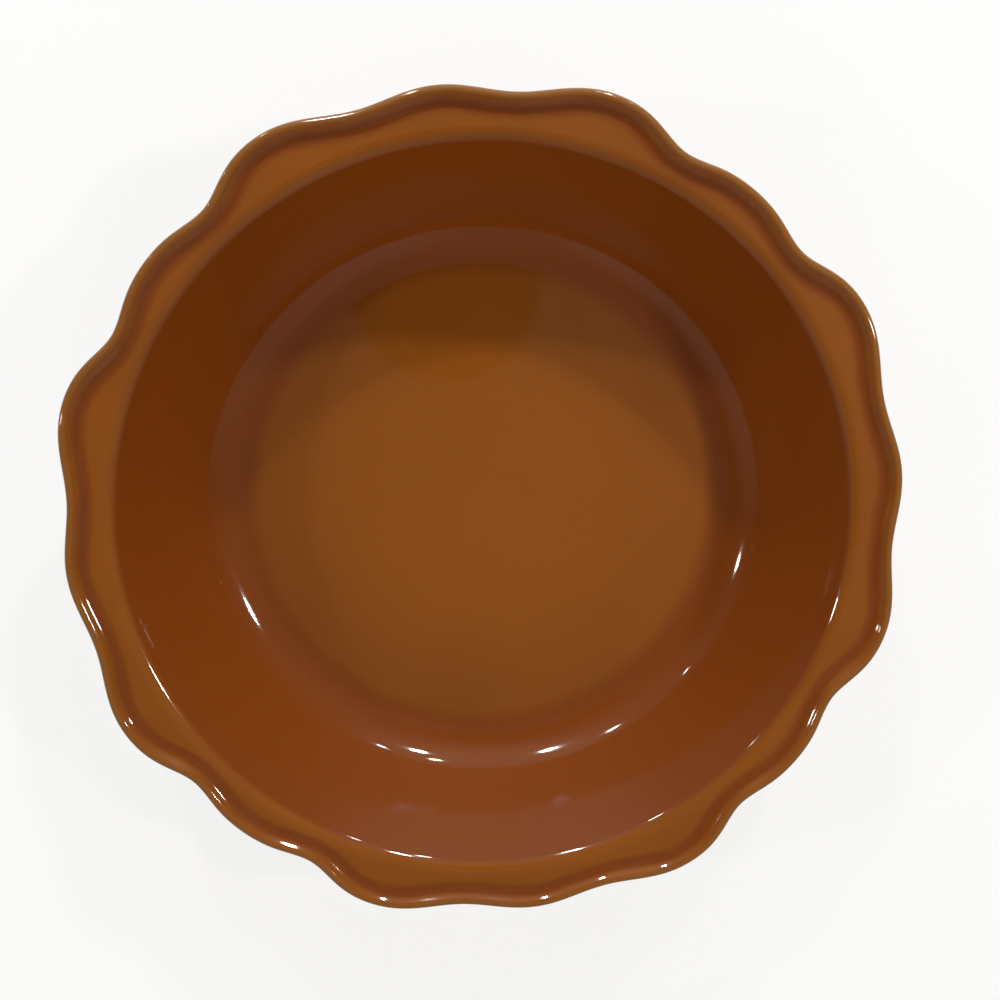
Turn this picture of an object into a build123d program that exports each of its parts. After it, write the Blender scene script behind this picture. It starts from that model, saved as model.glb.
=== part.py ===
from build123d import *

import os
from math import atan2, copysign, cos, degrees, pi, radians, sin, sqrt, tan

# A round ceramic pie dish with a scalloped rim, in millimetres. The origin is on
# the dish's axis, at the plane that it stands on, with +Z up, and one side lobe of
# the rim lies on +X. A depth is always measured from the glazed surface, at depth 0,
# straight into the wall, so the fired clay starts at the glaze's own thickness.

# Bowl, as measured on the glazed inside
mouth_radius = 115.8  # where the wall's line meets the flange's level top
bowl_depth = 39.2  # from the floor up to the flange's top
wall_slope = radians(56)  # from the horizontal
floor_fillet = 20.0
lip_round = 5.5
floor_thickness = 6.0
wall_thickness = 5.5

# Flange, a level ring from the lip out to the roll
flange_thickness = 4.6
under_fillet = 3.0  # between the flange's underside and the outside wall

# Scalloped rim: 16 lobes in four equal quarters. A quarter runs from one side lobe to
# the next and is the same from both ends, with the corner lobe in its middle and the
# main lobes between. These are the widths of level flange left inside the roll.
quarters = 4
side_flange = 4.95
main_flange = 7.35
corner_flange = 2.75
side_notch_flange = 2.7
corner_notch_flange = 0.15

# Where they lie, as shares of the way from a side lobe to the corner lobe
side_notch_share = 0.221
main_lobe_share = 0.5
corner_notch_share = 0.779

# 0 makes a lobe an even wave, and more makes it broader with a tighter notch
side_fullness_share = 0.04
corner_fullness_share = 0.32

# Roll along the rim's edge, and the wide groove between the roll and the flange
roll_radius = 1.6
roll_rise = 0.9  # how far the roll's centre line lies over the flange's top
groove_radius = 5.0
edge_round = 4.0  # from the rim's upright side to the flange's underside

# Foot, a low ring of bare clay round a shallow recess
foot_height = 2.2
foot_inset = 9.9  # from the corner of the outside wall and the base
foot_width = 5.0
foot_draft = 0.8  # how far each side of the foot slopes in on its way down
base_round = 10.0

# Glaze
glaze_thickness = 0.4
glaze_stop = 0.6  # bare wall between the glaze's lower edge and the rounded base
recess_margin = 1.5  # bare clay between the glaze in the recess and the foot

# How finely the dish is drawn: points of the edge on each stretch from a lobe to a
# notch, and flat steps across each rounding that shows
stretch_stations = 2
floor_fillet_steps = 3
lip_steps = 2
groove_steps = 2
roll_inner_steps = 2
roll_outer_steps = 2
edge_steps = 2
under_steps = 1
base_steps = 2

# Places that follow from these sizes
floor_top = foot_height + floor_thickness
flange_top = floor_top + bowl_depth
flange_underside = flange_top - flange_thickness
floor_radius = mouth_radius - bowl_depth / tan(wall_slope)
under_radius = mouth_radius + wall_thickness / sin(wall_slope) - flange_thickness / tan(wall_slope)

# Radii at which the roundings of floor, lip and underside run out into level faces
fillet_start_radius = floor_radius - floor_fillet * tan(wall_slope / 2)
lip_end_radius = mouth_radius + lip_round * tan(wall_slope / 2)
under_end_radius = under_radius + under_fillet * tan(wall_slope / 2)

# The roll meets the groove in one tangent. Below it stands the rim's upright side, down
# to where the rounding into the underside starts.
roll_run = sqrt((roll_radius + groove_radius) ** 2 - (groove_radius - roll_rise) ** 2)
roll_height = flange_top + roll_rise
side_end_height = flange_underside + edge_round

# Radius of the rim's outermost edge where no level flange is left inside the roll
least_edge_radius = max(
    lip_end_radius + roll_run + roll_radius,
    under_end_radius + edge_round,
)

# Lobes and notches, and the stretches of edge from each lobe to a notch beside it
side_lobe = (0, side_flange)
side_notch = (side_notch_share, side_notch_flange)
main_lobe = (main_lobe_share, main_flange)
corner_notch = (corner_notch_share, corner_notch_flange)
corner_lobe = (1, corner_flange)
stretches = (
    (side_lobe, side_notch, side_fullness_share),
    (main_lobe, side_notch, side_fullness_share),
    (main_lobe, corner_notch, corner_fullness_share),
    (corner_lobe, corner_notch, corner_fullness_share),
)


def edge(angle):
    """The rim's outermost radius at an angle round the dish, and its rate of growth.

    From a lobe's tip to a notch the radius follows half a cosine wave, which the
    lobe's fullness holds back near the tip.
    """
    half_quarter = pi / quarters
    past_corner = angle % (2 * half_quarter) - half_quarter
    share = 1 - abs(past_corner) / half_quarter
    for lobe, notch, fullness_share in stretches:
        if share <= max(lobe[0], notch[0]):
            break
    way = (share - lobe[0]) / (notch[0] - lobe[0])
    turn = pi * way - fullness_share * sin(pi * way)
    turn_rate = pi * (1 - fullness_share * cos(pi * way)) / (notch[0] - lobe[0])
    drop = lobe[1] - notch[1]
    radius = least_edge_radius + notch[1] + drop * (1 + cos(turn)) / 2
    growth = drop * sin(turn) / 2 * turn_rate * copysign(1, past_corner) / half_quarter
    return radius, growth


def edge_point(angle, past, height):
    """A point at a height, past the rim's edge by a length that is square to the edge."""
    radius, growth = edge(angle)
    outward = Vector(radius, -growth, 0).normalized()
    point = Vector(radius, 0, height) + outward * past
    return point.rotate(Axis.Z, degrees(angle))


def edge_angles():
    """Angles of all lobes and notches, with even steps on each stretch between them."""
    half_quarter = pi / quarters
    shares = [0]
    for lobe, notch, _ in stretches:
        start, end = sorted((lobe[0], notch[0]))
        for step in range(1, stretch_stations + 1):
            shares.append(start + (end - start) * step / stretch_stations)
    shares += [2 - share for share in shares[-2::-1]]
    angles = [0]
    for quarter in range(quarters):
        angles += [(2 * quarter + share) * half_quarter for share in shares[1:]]
    return angles


def edge_line(past, height):
    """The whole scalloped edge at a height, moved out past the rim's edge."""
    angles = edge_angles()
    points = [edge_point(angle, past, height) for angle in angles[:-1]]
    return Edge.make_spline(points, periodic=True, parameters=angles)


def round_wire(radius, height):
    """A level circle."""
    return Wire.make_circle(radius, Plane.XY.offset(height))


def rounding(middle, size, start, end, steps):
    """Points of an arc about its middle, from one turn to another."""
    turns = [start + (end - start) * step / steps for step in range(steps + 1)]
    return [(middle[0] + size * cos(turn), middle[1] + size * sin(turn)) for turn in turns]


def turned(outline):
    """The faces that an outline of straight runs sweeps in a turn about the axis."""
    points = [(radius, 0, height) for radius, height in outline]
    return [Face.revolve(line, 360, Axis.Z) for line in Polyline(*points).edges()]


def skin(bowl, roll, outside):
    """The faces along three outlines, with a level ring on each side of the roll.

    Bowl and outside are turned about the axis, and are given by radii and heights.
    The roll follows the scalloped edge, by places past that edge and heights.
    """
    wires = [Wire([edge_line(past, height)]) for past, height in roll]
    strips = [Face.make_surface_from_curves(*pair) for pair in zip(wires, wires[1:])]
    flange = Face(wires[0], [round_wire(*bowl[-1])])
    underside = Face(wires[-1], [round_wire(*outside[0])])
    return turned(bowl) + [flange] + strips + [underside] + turned(outside)


def outside_wall_radius(height, depth):
    """Radius of the outside wall at a height and a depth."""
    return under_radius - depth / sin(wall_slope) - (flange_underside - height) / tan(wall_slope)


# Middles of the roundings, as radii or places past the edge, and heights
fillet_middle = (fillet_start_radius, floor_top + floor_fillet)
lip_middle = (lip_end_radius, flange_top - lip_round)
groove_middle = (-roll_radius - roll_run, flange_top + groove_radius)
roll_middle = (-roll_radius, roll_height)
edge_middle = (-edge_round, side_end_height)
under_middle = (under_end_radius, flange_underside - under_fillet)

# Turns at which the roundings end at the inside wall, at the outside wall and where
# the groove and the roll meet. A step runs straight through that last one.
wall_turn = wall_slope - pi / 2
lip_turn = wall_slope + pi / 2
roll_turn = atan2(groove_radius - roll_rise, -roll_run)
groove_turn = roll_turn - pi

# Glazed side: the bowl as far as the lip, the roll, and the wall under the rim
glazed_bowl = [(0, floor_top)]
glazed_bowl += rounding(fillet_middle, floor_fillet, -pi / 2, wall_turn, floor_fillet_steps)
glazed_bowl += rounding(lip_middle, lip_round, lip_turn, pi / 2, lip_steps)

glazed_roll = rounding(groove_middle, groove_radius, -pi / 2, groove_turn, groove_steps)[:-1]
glazed_roll += rounding(roll_middle, roll_radius, roll_turn, pi / 2, roll_inner_steps)[1:-1]
glazed_roll += rounding(roll_middle, roll_radius, pi / 2, 0, roll_outer_steps)
glazed_roll += rounding(edge_middle, edge_round, 0, -pi / 2, edge_steps)

glaze_end = foot_height + base_round * (1 - cos(wall_slope)) + glaze_stop
glazed_outside = rounding(under_middle, under_fillet, pi / 2, lip_turn, under_steps)
glazed_outside.append((outside_wall_radius(glaze_end, 0), glaze_end))

# The clay behind the glaze is plainer, with one flat step or none at each rounding. At
# the floor the step touches the rounding's arc in its middle, and the glaze lies deeper.
clay_floor = floor_top - glaze_thickness
clay_flange = flange_top - glaze_thickness
clay_underside = flange_underside + glaze_thickness
clay_crest = roll_height + roll_radius - glaze_thickness

step_size = (floor_fillet + glaze_thickness) / cos(wall_slope / 4)
step_start = wall_slope / 4 - pi / 2
step_end = step_start + wall_slope / 2
clay_bowl = [(0, clay_floor)] + rounding(fillet_middle, step_size, step_start, step_end, 1)
clay_bowl += rounding(lip_middle, lip_round - glaze_thickness, lip_turn, pi / 2, 1)

groove_bottom = groove_middle[0] + groove_radius * cos((groove_turn - pi / 2) / 2)
clay_roll = [
    (groove_bottom, clay_flange),
    (roll_middle[0], clay_crest),
    (-glaze_thickness, side_end_height),
    (edge_middle[0], clay_underside),
]
clay_wall_top = (outside_wall_radius(clay_underside, glaze_thickness), clay_underside)
clay_wall_end = (outside_wall_radius(glaze_end, glaze_thickness), glaze_end)

# The bare clay below: rounded base, foot and the recess inside the foot
base_radius = outside_wall_radius(foot_height, glaze_thickness)
base_middle = (base_radius - base_round * tan(wall_slope / 2), foot_height + base_round)
foot_radius = outside_wall_radius(foot_height, 0) - foot_inset
recess_radius = foot_radius - foot_width
clay_outside = [clay_wall_top]
clay_outside += rounding(base_middle, base_round, wall_turn, -pi / 2, base_steps)
clay_outside += [
    (foot_radius, foot_height),
    (foot_radius - foot_draft, 0),
    (recess_radius + foot_draft, 0),
    (recess_radius, foot_height),
    (0, foot_height),
]

stoneware_body = Solid(Shell(skin(clay_bowl, clay_roll, clay_outside)))

glazed_side = skin(glazed_bowl, glazed_roll, glazed_outside)
glaze_lip = turned([glazed_outside[-1], clay_wall_end])
back_side = skin(clay_bowl, clay_roll, [clay_wall_top, clay_wall_end])
glaze_coat = Solid(Shell(glazed_side + glaze_lip + back_side))

recess_middle = Plane.XY.offset(foot_height - glaze_thickness)
underside_glaze = Solid.make_cylinder(recess_radius - recess_margin, glaze_thickness, recess_middle)

os.makedirs("parts", exist_ok=True)
export_step(stoneware_body, "parts/stoneware_body.step")
export_step(glaze_coat, "parts/glaze_coat.step")
export_step(underside_glaze, "parts/underside_glaze.step")
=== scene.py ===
import bpy
import numpy as np
from mathutils import Matrix, Vector


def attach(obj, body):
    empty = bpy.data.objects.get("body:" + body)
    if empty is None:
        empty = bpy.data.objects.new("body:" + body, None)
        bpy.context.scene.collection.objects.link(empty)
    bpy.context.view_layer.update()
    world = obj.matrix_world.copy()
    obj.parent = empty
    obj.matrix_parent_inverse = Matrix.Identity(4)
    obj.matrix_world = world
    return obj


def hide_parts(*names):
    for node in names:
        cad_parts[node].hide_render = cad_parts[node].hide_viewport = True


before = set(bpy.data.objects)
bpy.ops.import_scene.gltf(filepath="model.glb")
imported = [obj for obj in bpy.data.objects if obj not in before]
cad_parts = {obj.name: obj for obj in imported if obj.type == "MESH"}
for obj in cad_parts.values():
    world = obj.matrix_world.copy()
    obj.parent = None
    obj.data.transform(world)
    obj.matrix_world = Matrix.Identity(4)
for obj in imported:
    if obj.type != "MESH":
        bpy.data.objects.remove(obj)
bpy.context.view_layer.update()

print("frame loaded:", ", ".join(sorted(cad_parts)))

# A glazed stoneware pie dish, in metres, standing on z = 0 with its axis on Z.
# A depth is measured from the glazed surface straight into the wall.
dish = {
    "mouthRadius": 0.1158,  # where the wall's line meets the level flange
    "bowlDepth": 0.0392,
    "wallSlope": np.radians(56),  # from the horizontal
    "floorFillet": 0.020,
    "lipRound": 0.0055,
    "floorThickness": 0.006,
    "wallThickness": 0.0055,
    "flangeThickness": 0.0046,
    "underFillet": 0.003,
    "footHeight": 0.0022,
    "footInset": 0.0099,
    "footWidth": 0.005,
    "footDraft": 0.0008,  # how far each side of the foot slopes in on its way down
    "baseRound": 0.010,
    "glazeThickness": 0.0004,
    "glazeStop": 0.0006,  # bare wall between the glaze's edge and the rounded base
    "recessMargin": 0.0015,  # bare clay round the glaze in the foot's recess
}

# The scalloped rim: four equal quarters of lobes and notches. A place is a share of the
# way from a side lobe to a corner lobe, and a width is the level flange left there.
rim = {
    "quarters": 4,
    "placeShares": np.array([0, 0.221, 0.5, 0.779, 1]),
    "widths": np.array([0.00495, 0.0027, 0.00735, 0.00015, 0.00275]),
    "fullnessShares": np.array([0.04, 0.04, 0.32, 0.32]),
    "rollRadius": 0.0016,
    "rollRise": 0.0009,  # how far the roll's centre line lies over the flange's top
    "grooveRadius": 0.0050,
    "edgeRound": 0.0040,  # from the rim's upright side to the flange's underside
}

stations = 640  # columns of points round the dish
poleRadius = 0.0004  # of the small ring in the middle of each skin


# Points of level circles: (r cos a, r sin a), for arrays of radii and of angles
def onCircle(radius, angles):
    return np.stack([radius * np.cos(angles), radius * np.sin(angles)], axis=-1)


# Where the wall meets a level face once both have moved in by a depth: the corner moves
# out by depth times the tangent of half the slope, and down by the depth
def corner(radius, height, depth):
    return radius + depth * np.tan(dish["wallSlope"] / 2), height - depth


slope = dish["wallSlope"]
floorTop = dish["footHeight"] + dish["floorThickness"]
flangeTop = floorTop + dish["bowlDepth"]
flangeUnder = flangeTop - dish["flangeThickness"]
floorRadius = dish["mouthRadius"] - dish["bowlDepth"] / np.tan(slope)
wallShift = dish["wallThickness"] / np.sin(slope) - dish["flangeThickness"] / np.tan(slope)
underRadius = dish["mouthRadius"] + wallShift
filletStart = floorRadius - dish["floorFillet"] * np.tan(slope / 2)
wallEnd = dish["mouthRadius"] - dish["lipRound"] * np.tan(slope / 2) * np.cos(slope)
lipEnd = dish["mouthRadius"] + dish["lipRound"] * np.tan(slope / 2)
underEnd = underRadius + dish["underFillet"] * np.tan(slope / 2)
rollReach = rim["rollRadius"] + rim["grooveRadius"]
rollRun = np.sqrt(rollReach**2 - (rim["grooveRadius"] - rim["rollRise"]) ** 2)
rollHeight = flangeTop + rim["rollRise"]
sideEnd = flangeUnder + rim["edgeRound"]
leastEdge = max(lipEnd + rollRun + rim["rollRadius"], underEnd + rim["edgeRound"])
glazeEnd = dish["footHeight"] + dish["baseRound"] * (1 - np.cos(slope)) + dish["glazeStop"]


# The rim's outermost radius at each angle, and its rate of growth with the angle. From a
# lobe's tip to the notch beside it the radius follows half a cosine wave, whose phase is
# held back near the tip by the lobe's fullness.
def edge(angles):
    halfQuarter = np.pi / rim["quarters"]
    pastCorner = angles % (2 * halfQuarter) - halfQuarter
    share = 1 - np.abs(pastCorner) / halfQuarter
    places, widths = rim["placeShares"], rim["widths"]
    stretch = np.clip(np.searchsorted(places, share, side="right") - 1, 0, len(places) - 2)
    lobe = np.where(widths[stretch] > widths[stretch + 1], stretch, stretch + 1)
    notch = 2 * stretch + 1 - lobe
    fullness = rim["fullnessShares"][stretch]
    length = places[notch] - places[lobe]
    way = (share - places[lobe]) / length
    turn = np.pi * way - fullness * np.sin(np.pi * way)
    turnRate = np.pi * (1 - fullness * np.cos(np.pi * way)) / length
    drop = widths[lobe] - widths[notch]
    radius = leastEdge + widths[notch] + drop * (1 + np.cos(turn)) / 2
    growth = drop * np.sin(turn) / 2 * turnRate * np.sign(pastCorner) / halfQuarter
    return radius, growth


angles = np.linspace(0, 2 * np.pi, stations, endpoint=False)
edgeRadius, edgeGrowth = edge(angles)
across = np.stack([-edgeRadius, edgeGrowth], axis=-1)
across /= np.linalg.norm(across, axis=-1, keepdims=True)
radial, along = onCircle(1, angles), onCircle(1, angles + np.pi / 2)
inward = across[:, :1] * radial + across[:, 1:] * along  # level and square to the edge


# Rows of level circles, one for each (radius, height) of an outline
def turnedRows(outline):
    flat = onCircle(outline[:, :1], angles[None, :])
    height = np.broadcast_to(outline[:, 1, None, None], flat.shape[:2] + (1,))
    return np.concatenate([flat, height], axis=-1)


# Rows along the scalloped edge, one for each (inset, height) of a section. A point is the
# edge's point at the same angle, moved in by the inset, square to the edge.
def rimRows(section):
    flat = edgeRadius[:, None] * radial + section[:, :1, None] * inward[None]
    height = np.broadcast_to(section[:, 1, None, None], flat.shape[:2] + (1,))
    return np.concatenate([flat, height], axis=-1)


# Rows between two rows of points, in even shares of the way and without the two
def bandRows(first, last, count):
    shares = np.linspace(0, 1, count + 2)[1:-1, None, None]
    return first[None] * (1 - shares) + last[None] * shares


# An outline with each inner corner rounded. Its arc starts a rounding times the tangent
# of half the bend before the corner, and turns through the bend in equal steps.
def rounded(corners, roundings, steps):
    corners = np.array(corners, float)
    pieces = [corners[:1]]
    for here, rounding, count in zip(range(1, len(corners) - 1), roundings, steps):
        before, after = corners[here] - corners[here - 1], corners[here + 1] - corners[here]
        before, after = before / np.linalg.norm(before), after / np.linalg.norm(after)
        bend = np.arctan2(before[0] * after[1] - before[1] * after[0], before @ after)
        side = np.sign(bend) * np.array([-before[1], before[0]])
        start = corners[here] - before * rounding * np.tan(abs(bend) / 2)
        turn = np.linspace(0, abs(bend), count + 1)[:, None]
        pieces.append(start + rounding * (np.sin(turn) * before + (1 - np.cos(turn)) * side))
    return np.concatenate(pieces + [corners[-1:]])


# The outline with each straight step cut into as few equal ones as make none too long
def divided(outline, longest):
    slack = 1e-6  # of a step, so that one of just the length asked for stays whole
    lengths = np.linalg.norm(np.diff(outline, axis=0), axis=1)
    counts = np.maximum(np.ceil(lengths / longest - slack).astype(int), 1)
    places = np.concatenate([[0], np.cumsum(counts)])
    fine = np.arange(places[-1] + 1)
    return np.stack([np.interp(fine, places, outline[:, axis]) for axis in (0, 1)], axis=-1)


# (inset, height) along three arcs: groove, roll and the rim's lower edge. Each point is
# the arc's centre less size times the cosine, plus size times the sine of its turn.
def rollSection(depth, steps):
    roll, groove, low = rim["rollRadius"], rim["grooveRadius"], rim["edgeRound"]
    contact = np.arctan2(groove - rim["rollRise"], -rollRun)
    arcs = (
        (roll + rollRun, flangeTop + groove, groove + depth, -np.pi / 2, contact - np.pi, False),
        (roll, rollHeight, roll - depth, contact, 0, True),
        (low, sideEnd, low - depth, 0, -np.pi / 2, True),
    )
    pieces = []
    for (inset, height, size, start, end, whole), count in zip(arcs, steps):
        turn = np.linspace(start, end, count + whole, endpoint=whole)
        pieces.append(np.stack([inset - size * np.cos(turn), height + size * np.sin(turn)], -1))
    return np.concatenate(pieces)


# Rows over floor, inside wall, lip, flange and roll, to the flange's underside: turned
# ones to the lip's end, then scalloped ones, joined by even bands
def upperRows(depth, detail):
    bowl = rounded(
        [
            (poleRadius, floorTop - depth),
            corner(floorRadius, floorTop, depth),
            corner(dish["mouthRadius"], flangeTop, depth),
            (lipEnd + poleRadius, flangeTop - depth),
        ],
        [dish["floorFillet"] + depth, dish["lipRound"] - depth],
        [detail["fillet"], detail["lip"]],
    )[:-1]
    bowlRows = turnedRows(divided(bowl, detail["longest"]))
    roll = rimRows(rollSection(depth, detail["roll"]))
    under = turnedRows(np.array([[underEnd, flangeUnder + depth]]))
    flange = bandRows(bowlRows[-1], roll[0], detail["band"])
    underside = bandRows(roll[-1], under[0], detail["band"])
    return np.concatenate([bowlRows, flange, roll, underside])


# The outside below the flange as an outline: the underside's corner, rounded, and then
# the corners given, each sharp unless it has a rounding of its own
def underOutline(depth, more, roundings, steps, longest):
    corners = [
        (leastEdge, flangeUnder + depth),
        corner(underRadius, flangeUnder, -depth),
    ] + more
    roundings = [dish["underFillet"] + depth] + roundings
    sharp = len(corners) - 2 - len(roundings)
    roundings, steps = roundings + [0] * sharp, steps + [1] * sharp
    return divided(rounded(corners, roundings, steps)[1:], longest)


# Radius of the outside wall at a height and a depth, on its straight line from the top
def outsideRadius(height, depth):
    radius, top = corner(underRadius, flangeUnder, -depth)
    return radius - (top - height) / np.tan(slope)


# Each point's level distance in from the rim's edge, taken square to the edge: what is
# left of the radius there, times the cosine of the edge's slant
def edgeInset(rows):
    out = np.linalg.norm(rows[..., :2], axis=-1)
    return (edgeRadius - out) * edgeRadius / np.hypot(edgeRadius, edgeGrowth)


# A mesh of quads between neighbouring rows of points, each row a closed ring. The first
# and the last row are small rings, which one flat face each fills.
def makeSkin(name, rows):
    count = rows.shape[0]
    grid = np.arange(count * stations).reshape(count, stations)
    lower, upper = grid[:-1], grid[1:]
    quads = np.stack([lower, np.roll(lower, -1, 1), np.roll(upper, -1, 1), upper], -1)
    quads = quads.reshape(-1, 4)
    loops = np.concatenate([quads.ravel(), grid[0, ::-1], grid[-1]])
    sizes = np.concatenate([np.full(len(quads), 4), [stations, stations]])
    starts = np.concatenate([[0], np.cumsum(sizes)[:-1]])
    mesh = bpy.data.meshes.new(name)
    mesh.vertices.add(count * stations)
    mesh.vertices.foreach_set("co", rows.reshape(-1).astype(np.float32))
    mesh.loops.add(len(loops))
    mesh.loops.foreach_set("vertex_index", loops.astype(np.int32))
    mesh.polygons.add(len(sizes))
    mesh.polygons.foreach_set("loop_start", starts.astype(np.int32))
    mesh.polygons.foreach_set("use_smooth", np.ones(len(sizes), bool))
    mesh.update(calc_edges=True)
    piece = bpy.data.objects.new(name, mesh)
    bpy.context.scene.collection.objects.link(piece)
    print(name, "made of", len(quads), "quads")
    return piece


# Glaze: one thin closed skin, from the floor over the rim to its edge above the foot.
# Counts are steps of an arc or rows of a band, and longest is the longest straight step.
glaze = {
    "shown": {"fillet": 12, "lip": 8, "roll": (9, 16, 8), "band": 3, "longest": 0.008},
    "hidden": {"fillet": 5, "lip": 3, "roll": (2, 5, 3), "band": 1, "longest": 0.03},
    "under": ([5], 0.006),  # steps of the fillet, and the longest step down the wall
    "hiddenUnder": ([2], 0.02),
    "edgeSteps": 5,
    "innerDepth": 0.00037,  # just clear of the clay
}


# Rows of the whole glaze skin: out over the shown side, round its edge above the foot by
# a quarter of a circle, and back behind the shown side at the inner depth
def glazeRows():
    depth = glaze["innerDepth"]
    sides = []
    for inset, detail, (steps, longest) in (
        (0, glaze["shown"], glaze["under"]),
        (depth, glaze["hidden"], glaze["hiddenUnder"]),
    ):
        end = [(outsideRadius(glazeEnd, inset), glazeEnd)]
        outside = turnedRows(underOutline(inset, end, [], steps, longest))
        sides.append(np.concatenate([upperRows(inset, detail), outside]))
    turn = np.linspace(0, np.pi / 2, glaze["edgeSteps"] + 2)[1:-1, None]
    down = np.array([-np.cos(slope), -np.sin(slope)])
    intoWall = np.array([-np.sin(slope), np.cos(slope)])
    start = np.array([outsideRadius(glazeEnd, 0), glazeEnd])
    arc = start + depth * (np.sin(turn) * down + (1 - np.cos(turn)) * intoWall)
    return np.concatenate([sides[0], turnedRows(arc), sides[1][::-1]])


glazePoints = glazeRows()
glazeCoat = makeSkin("glazeCoat", glazePoints)
layer = glazeCoat.data.attributes.new("edgeInset", "FLOAT", "POINT")
layer.data.foreach_set("value", edgeInset(glazePoints).reshape(-1).astype(np.float32))

# Clay: the body under the glaze, bare from the glaze's edge down and round the foot
clay = {
    "detail": {"fillet": 6, "lip": 3, "roll": (2, 6, 4), "band": 1, "longest": 0.02},
    "longest": 0.003,
    "underSteps": [2, 10],  # of the fillet under the flange and of the rounded base
    "footEase": 0.0004,
    "footSteps": 3,
}


# Rows of the whole clay body, from the floor's middle over the rim, down the outside and
# round the foot to the recess's middle
def clayRows():
    depth = dish["glazeThickness"]
    foot = outsideRadius(dish["footHeight"], 0) - dish["footInset"]
    recess = foot - dish["footWidth"]
    draft, high = dish["footDraft"], dish["footHeight"]
    footCorners = [(foot, high), (foot - draft, 0), (recess + draft, 0), (recess, high)]
    more = [(outsideRadius(high, depth), high)] + footCorners + [(poleRadius, high)]
    roundings = [dish["baseRound"]] + [clay["footEase"]] * len(footCorners)
    steps = clay["underSteps"] + [clay["footSteps"]] * len(footCorners)
    outside = underOutline(depth, more, roundings, steps, clay["longest"])
    return np.concatenate([upperRows(depth, clay["detail"]), turnedRows(outside)])


clayBody = makeSkin("stonewareBody", clayRows())

# Glaze in the recess inside the foot: a thin disc with a soft edge
recessGlaze = {"steps": 5, "easeShare": 0.9, "longest": 0.006}


# Rows of a flat disc, from the middle of its shown face round its edge and back
def recessRows():
    high, thick = dish["footHeight"], dish["glazeThickness"]
    foot = outsideRadius(high, 0) - dish["footInset"] - dish["footWidth"]
    radius = foot - dish["recessMargin"]
    low = high - thick
    corners = [(poleRadius, high), (radius, high), (radius, low), (poleRadius, low)]
    ease = thick * recessGlaze["easeShare"]
    outline = rounded(corners, [0, ease], [1, recessGlaze["steps"]])
    return turnedRows(divided(outline, recessGlaze["longest"]))


undersideGlaze = makeSkin("undersideGlaze", recessRows())


# A node socket that takes part in sums, each of which adds a Math node
class Socket:
    def __init__(self, tree, output):
        self.tree, self.output = tree, output

    def math(self, operation, first, second):
        node = self.tree.nodes.new("ShaderNodeMath")
        node.operation = operation
        for socket, value in zip(node.inputs, (first, second)):
            connect(self.tree, socket, value)
        return Socket(self.tree, node.outputs[0])

    def __add__(self, other):
        return self.math("ADD", self, other)

    def __sub__(self, other):
        return self.math("SUBTRACT", self, other)

    def __mul__(self, other):
        return self.math("MULTIPLY", self, other)

    def __rsub__(self, other):
        return self.math("SUBTRACT", other, self)

    __radd__ = __add__
    __rmul__ = __mul__


# Links a wrapped output to a socket, or writes a plain value into it
def connect(tree, socket, value):
    if isinstance(value, Socket):
        tree.links.new(value.output, socket)
    else:
        socket.default_value = value


# A node tree under construction, with one method for all nodes but those of a sum
class Nodes:
    def __init__(self, tree):
        self.tree = tree
        self.tree.nodes.clear()

    # A node of a kind. Its inputs are given in order or by name, and the output named or
    # else the first is handed on, if there is one.
    def node(self, kind, settings=None, inputs=(), output=None, **named):
        made = self.tree.nodes.new("ShaderNode" + kind)
        for name, value in (settings or {}).items():
            setattr(made, name, value)
        for socket, value in zip(made.inputs, inputs):
            connect(self.tree, socket, value)
        for name, value in named.items():
            title = name.replace("_", " ")
            found = [socket for socket in made.inputs if socket.name == title and socket.enabled]
            connect(self.tree, found[0], value)
        shown = [socket for socket in made.outputs if socket.enabled]
        if shown:
            return Socket(self.tree, made.outputs[output] if output else shown[0])

    def mix(self, factor, first, second, blend="MIX"):
        settings = {"data_type": "RGBA", "blend_type": blend}
        return self.node("Mix", settings, Factor=factor, A=first, B=second)

    def noise(self, place, scale, detail, roughness=0.5):
        return self.node("TexNoise", Vector=place, Scale=scale, Detail=detail, Roughness=roughness)

    # 0 at the start and 1 at the end, with a smooth way between, whichever is higher
    def ramp(self, factor, start, end):
        settings = {"interpolation_type": "SMOOTHSTEP"}
        low, high = min(start, end), max(start, end)
        value = self.node("MapRange", settings, Value=factor, From_Min=low, From_Max=high)
        return 1 - value if start > end else value

    def finish(self, surface, kind="Material"):
        self.node("Output" + kind, Surface=surface)


def newMaterial(name):
    material = bpy.data.materials.new(name)
    material.use_nodes = True
    return material, Nodes(material.node_tree)


def colour(red, green, blue):
    return (red, green, blue, 1)


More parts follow.
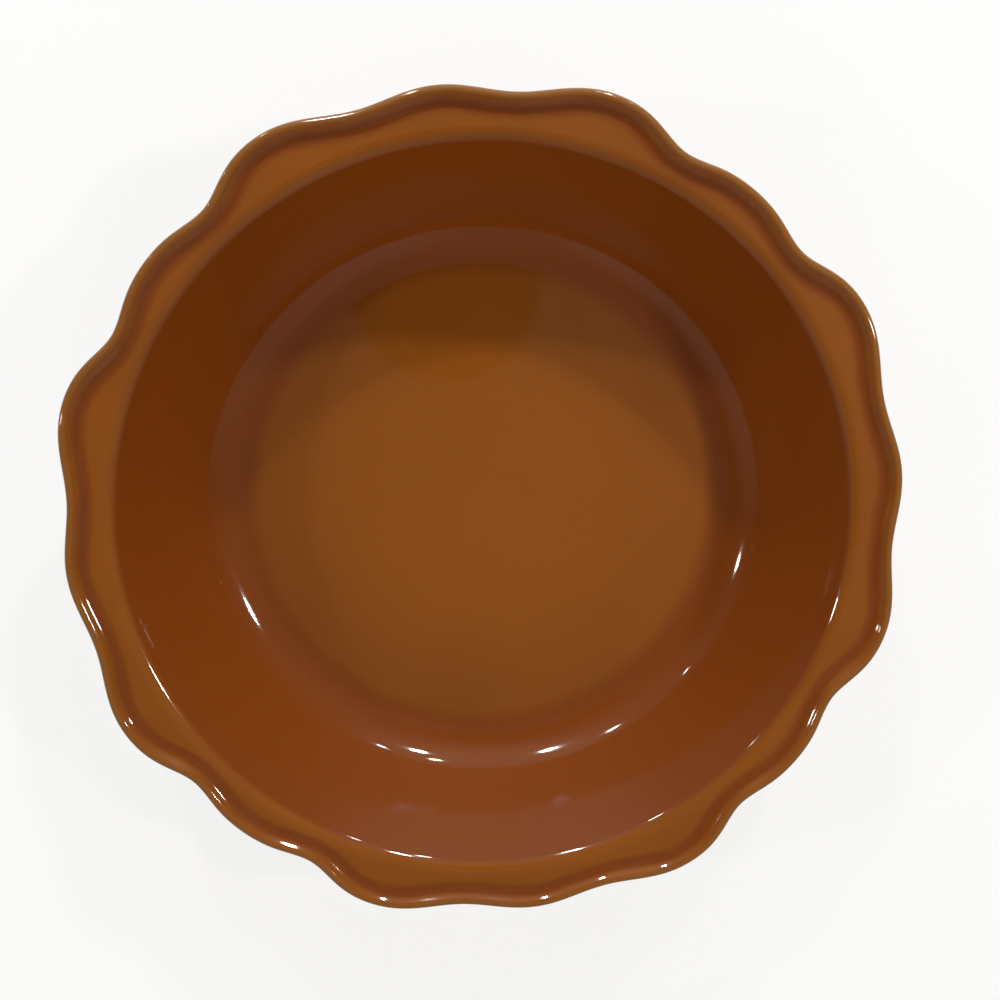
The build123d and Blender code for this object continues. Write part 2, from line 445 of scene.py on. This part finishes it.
# Glossy caramel glaze: darker where it pools in the groove, golden where it breaks over the
# rim's edge, with painted light in the floor's middle and painted shade round the floor and
# on the wall. A noise is given by its scale and its detail, and a span is the part of a noise
# that its effect comes in over.
caramel = {
    "body": colour(0.230, 0.0640, 0.0030),
    "warm": colour(0.248, 0.0700, 0.0036),
    "clouds": (22, 4),
    "cloudSpan": (0.35, 0.68),
    "flat": colour(0.268, 0.0760, 0.0034),  # painted light: lighter in the middle of the floor
    "paintedLightEnd": (0.072, 0.030),  # radii where the floor's painted light ends and is plain
    "paintedLightShare": 0.85,
    "paintedShade": colour(0.190, 0.0410, 0.0014),  # painted shade: darker and redder round the floor and on the wall
    "paintedShadeEase": (0.0040, 0.0018),  # widths over which that painted shade comes in and goes out
    "deep": colour(0.174, 0.0380, 0.0018),
    "pool": (0.0085, 0.0055, 0.0046, 0.0026),  # insets where it starts, is deep and ends
    "golden": colour(0.236, 0.0900, 0.0170),
    "thin": (0.0026, 0.0012),  # insets where the golden edge starts and is plain
    "wander": (120, 3),
    "wanderMiddle": 0.5,
    "wanderWidth": 0.0012,  # of the bands on the rim
    "speck": colour(0.110, 0.0300, 0.0040),
    "specks": (900, 2),
    "speckSpan": (0.66, 0.78),
    "speckShare": 0.35,
    "grain": (2400, 1),
    "grainSpan": (0.55, 0.75),
    "grainShare": 0.12,
    "roughness": 0.05,
    "roughVary": 0.04,
    "roughClouds": (60, 3),
    "roughSpan": (0.4, 0.8),
    "haze": (0.22, 0.55),  # weight and roughness of a wide second gloss
    "refraction": 1.5,
    "ripple": (260, 2),
    "rippleHeight": 0.00002,
    "rippleStrength": 0.25,
}


# Cloudy caramel, mixed in turn towards painted light in the floor's middle, painted shade
# round the floor and on the wall, the groove's pooled tone and the rim's edge, all four on
# the upper glaze only, then towards specks and grain. A noise that moves the rim's bands has
# its middle value taken off.
def glazeMaterial(name, onRim):
    material, nodes = newMaterial(name)
    mix, ramp, noise = nodes.mix, nodes.ramp, nodes.noise
    place = nodes.node("TexCoord", output="Object")
    clouds = ramp(noise(place, *caramel["clouds"]), *caramel["cloudSpan"])
    base = mix(clouds, caramel["body"], caramel["warm"])
    if onRim:
        level = nodes.node("VectorMath", {"operation": "MULTIPLY"}, (place, (1, 1, 0)))
        radius = nodes.node("VectorMath", {"operation": "LENGTH"}, (level,))
        # painted light: the floor's middle made lighter
        flat = ramp(radius, *caramel["paintedLightEnd"]) * caramel["paintedLightShare"]
        base = mix(flat, base, caramel["flat"])
        # painted shade: the fillet round the floor and the wall made darker and redder
        easeIn, easeOut = caramel["paintedShadeEase"]
        paintedShade = ramp(radius, filletStart - easeIn, filletStart + easeIn)
        paintedShade = paintedShade * ramp(radius, wallEnd + easeOut, wallEnd)
        base = mix(paintedShade, base, caramel["paintedShade"])
        inset = nodes.node("Attribute", {"attribute_name": "edgeInset"}, output="Fac")
        wander = noise(place, *caramel["wander"]) - caramel["wanderMiddle"]
        inset = inset + wander * caramel["wanderWidth"]
        start, deep, full, end = caramel["pool"]
        pool = ramp(inset, start, deep) * ramp(inset, end, full)
        base = mix(pool, base, caramel["deep"])
        base = mix(ramp(inset, *caramel["thin"]), base, caramel["golden"])
    specks = ramp(noise(place, *caramel["specks"]), *caramel["speckSpan"])
    base = mix(specks * caramel["speckShare"], base, caramel["speck"])
    grain = ramp(noise(place, *caramel["grain"]), *caramel["grainSpan"])
    base = mix(grain * caramel["grainShare"], base, caramel["golden"])
    dull = ramp(noise(place, *caramel["roughClouds"]), *caramel["roughSpan"])
    bump = nodes.node(
        "Bump",
        Strength=caramel["rippleStrength"],
        Distance=caramel["rippleHeight"],
        Height=noise(place, *caramel["ripple"]),
    )
    hazeWeight, hazeRoughness = caramel["haze"]
    shader = nodes.node(
        "BsdfPrincipled",
        Base_Color=base,
        Roughness=caramel["roughness"] + dull * caramel["roughVary"],
        IOR=caramel["refraction"],
        Coat_Weight=hazeWeight,
        Coat_Roughness=hazeRoughness,
        Normal=bump,
    )
    nodes.finish(shader)
    return material


# Bare stoneware: a matt buff clay with iron specks and fine grit
buff = {
    "body": colour(0.47, 0.33, 0.21),
    "light": colour(0.56, 0.42, 0.29),
    "clouds": (60, 4),
    "cloudSpan": (0.3, 0.7),
    "iron": colour(0.16, 0.075, 0.035),
    "specks": (1100, 1),
    "speckSpan": (0.7, 0.78),
    "speckShare": 0.8,
    "grit": (1500, 4, 0.7),  # with the noise's own roughness
    "gritHeight": 0.00012,
    "gritStrength": 0.6,
    "gritSpan": (0.3, 0.8),
    "roughness": 0.82,
    "roughVary": 0.12,
}


# Cloudy buff clay, mixed towards sparse iron specks, with a gritty bump
def clayMaterial():
    material, nodes = newMaterial("bareStoneware")
    mix, ramp, noise = nodes.mix, nodes.ramp, nodes.noise
    place = nodes.node("TexCoord", output="Object")
    clouds = ramp(noise(place, *buff["clouds"]), *buff["cloudSpan"])
    base = mix(clouds, buff["body"], buff["light"])
    specks = ramp(noise(place, *buff["specks"]), *buff["speckSpan"])
    base = mix(specks * buff["speckShare"], base, buff["iron"])
    grit = noise(place, *buff["grit"])
    strength, height = buff["gritStrength"], buff["gritHeight"]
    bump = nodes.node("Bump", Strength=strength, Distance=height, Height=grit)
    rough = buff["roughness"] + ramp(grit, *buff["gritSpan"]) * buff["roughVary"]
    nodes.finish(nodes.node("BsdfPrincipled", Base_Color=base, Roughness=rough, Normal=bump))
    return material


glazeCoat.data.materials.append(glazeMaterial("caramelGlaze", True))
undersideGlaze.data.materials.append(glazeMaterial("recessCaramelGlaze", False))
clayBody.data.materials.append(clayMaterial())
for piece, node, slot in (
    (glazeCoat, "glaze_coat", "caramel_glaze"),
    (clayBody, "stoneware_body", "bare_stoneware"),
    (undersideGlaze, "underside_glaze", "caramel_glaze"),
):
    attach(piece, "root")
    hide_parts(node)
print("pieces dressed")

# Studio: a pale floor, small lamps in a half ring beyond the dish, large soft bounces on
# the near side, dark surroundings with a few soft patches, and a dark card round the
# camera. Azimuths and elevations are in degrees in the picture's own frame, in which 0 is
# the camera's right and 90 its up.
studio = {
    "turn": np.radians(-6.80),  # from the picture's frame to the dish's
    "distance": 1.6,
    "lamps": (
        # name, azimuth, elevation, size, level on the floor, colour
        ("right", 10, 44.5, 0.12, 0.215, (1.00, 0.94, 0.85)),
        ("nearRight", 70, 30, 0.10, 0.190, (1.00, 0.99, 0.97)),
        ("nearLeft", 105, 30, 0.10, 0.155, (1.00, 0.99, 0.97)),
        ("left", 178, 33, 0.10, 0.075, (1.00, 0.94, 0.85)),
        ("strip", 123, 21, 0.09, 0.022, (1.00, 0.93, 0.80)),
        ("yellow", 75, 19, 0.08, 0.021, (1.00, 0.96, 0.80)),
        ("window", 61, 16, 0.07, 0.010, (0.86, 0.94, 1.00)),
        ("low", 147, 20, 0.05, 0.006, (1.00, 0.93, 0.80)),
    ),
    "bounces": (
        # as lamps, but large, and without a reflection of their own
        ("bounceLeft", 225, 25, 0.9, 0.050, (1.00, 0.88, 0.70)),
        ("bounceNear", 270, 25, 0.9, 0.066, (1.00, 0.88, 0.70)),
        ("bounceRight", 300, 50, 0.9, 0.045, (1.00, 0.88, 0.70)),
    ),
    "dim": colour(0.02, 0.02, 0.02),  # the surroundings between their patches
    "patches": (
        # azimuth, elevation, colour
        (90, 15, colour(0.30, 0.29, 0.27)),
        (135, 15, colour(0.12, 0.12, 0.12)),
        (90, 60, colour(0.08, 0.08, 0.08)),
        (295, 66, colour(0.12, 0.12, 0.11)),
        (225, 15, colour(0.26, 0.24, 0.20)),
        (270, 15, colour(0.16, 0.15, 0.12)),
        (310, 15, colour(0.22, 0.21, 0.19)),
    ),
    "patchSizes": (8, 42),  # angles from a patch's middle where it starts to fade and ends
}


# A place at an azimuth and elevation, in degrees, in the picture's frame: distance times
# (cos e cos a, cos e sin a, sin e)
def picturePlace(azimuth, elevation, distance):
    azimuth, elevation = np.radians(azimuth) + studio["turn"], np.radians(elevation)
    level = np.cos(elevation)
    return Vector((level * np.cos(azimuth), level * np.sin(azimuth), np.sin(elevation))) * distance


# A round lamp that alone makes a white floor as bright as its level: its power is the
# level times the square of pi times the distance, over the sine of its elevation
def addLamp(name, azimuth, elevation, size, level, tint, mirrored=True):
    place = picturePlace(azimuth, elevation, studio["distance"])
    light = bpy.data.lights.new(name, "AREA")
    light.shape, light.size, light.color = "DISK", size, tint
    light.energy = float(level * (np.pi * studio["distance"]) ** 2 / np.sin(np.radians(elevation)))
    lamp = bpy.data.objects.new(name, light)
    bpy.context.scene.collection.objects.link(lamp)
    lamp.location = place
    lamp.rotation_euler = (-place).to_track_quat("-Z", "Y").to_euler()
    lamp.visible_glossy = mirrored
    lamp.visible_camera = False


for settings in studio["lamps"]:
    addLamp(*settings)
for settings in studio["bounces"]:
    addLamp(*settings, mirrored=False)

# The surroundings. Seen straight from the camera they're white.
world = bpy.data.worlds.new("studio")
bpy.context.scene.world = world
world.use_nodes = True
nodes = Nodes(world.node_tree)
way = nodes.node("TexCoord", output="Generated")
near, far = (float(np.cos(np.radians(angle))) for angle in studio["patchSizes"])
sky = studio["dim"]
for azimuth, elevation, tint in studio["patches"]:
    middle = picturePlace(azimuth, elevation, 1)
    toward = nodes.node("VectorMath", {"operation": "DOT_PRODUCT"}, (way, middle), "Value")
    sky = nodes.mix(nodes.ramp(toward, far, near), sky, tint, "ADD")
dim = nodes.node("Background", Color=sky)
white = nodes.node("Background", Strength=1.0)
seen = nodes.node("LightPath", output="Is Camera Ray")
nodes.finish(nodes.node("MixShader", inputs=(seen, dim, white)), "World")


# One flat face through the corners, in one material
def addFace(name, corners, material):
    mesh = bpy.data.meshes.new(name)
    mesh.from_pydata(corners, [], [tuple(range(len(corners)))])
    mesh.materials.append(material)
    face = bpy.data.objects.new(name, mesh)
    bpy.context.scene.collection.objects.link(face)
    return face


ground = {
    "reach": 3.0,
    "colour": colour(0.92, 0.92, 0.92),
    "whiteness": 0.8,  # how much of the floor the camera sees as plain white
}
material, nodes = newMaterial("paleFloor")
pale = nodes.node("BsdfDiffuse", Color=ground["colour"])
white = nodes.node("Emission", Strength=1.0)
seen = nodes.node("LightPath", output="Is Camera Ray") * ground["whiteness"]
nodes.finish(nodes.node("MixShader", inputs=(seen, pale, white)))
reach = ground["reach"]
corners = [(-reach, -reach, 0), (reach, -reach, 0), (reach, reach, 0), (-reach, reach, 0)]
floor = addFace("floor", corners, material)
print("studio lit")

# Camera, from nearly above, as the photograph's
camera = {
    "place": (-0.0117, 0.0705, 0.38155),  # in the picture's frame, as the tilt is
    "tilt": (-10.63, -2.64),  # about X and Y, in degrees
    "focal": 1098.9,  # in the units of the picture's side
    "picture": 1000,
    "sensor": 36,
    "clip": (0.01, 20),
}
lens = bpy.data.cameras.new("camera")
lens.sensor_width = camera["sensor"]
lens.lens = camera["focal"] / camera["picture"] * camera["sensor"]
lens.clip_start, lens.clip_end = camera["clip"]
view = bpy.data.objects.new("camera", lens)
bpy.context.scene.collection.objects.link(view)
turn = Matrix.Rotation(studio["turn"], 3, "Z")
tiltX, tiltY = (float(np.radians(angle)) for angle in camera["tilt"])
facing = turn @ Matrix.Rotation(tiltY, 3, "Y") @ Matrix.Rotation(tiltX, 3, "X")
view.matrix_world = Matrix.Translation(turn @ Vector(camera["place"])) @ facing.to_4x4()
bpy.context.scene.camera = view
bpy.context.scene.view_settings.view_transform = "Standard"

# The dark card round the camera, a disc just behind it, shows only as a reflection
cardShape = {"radius": 0.062, "gap": 0.004, "points": 48, "colour": colour(0.01, 0.01, 0.01)}
material, nodes = newMaterial("cardBlack")
nodes.finish(nodes.node("BsdfDiffuse", Color=cardShape["colour"]))
turns = np.linspace(0, 2 * np.pi, cardShape["points"], endpoint=False)
ring = onCircle(cardShape["radius"], turns)
ring = [view.matrix_world @ Vector((*point, cardShape["gap"])) for point in ring]
card = addFace("card", ring, material)
card.visible_camera, card.visible_diffuse, card.visible_shadow = False, False, False

bpy.context.view_layer.update()
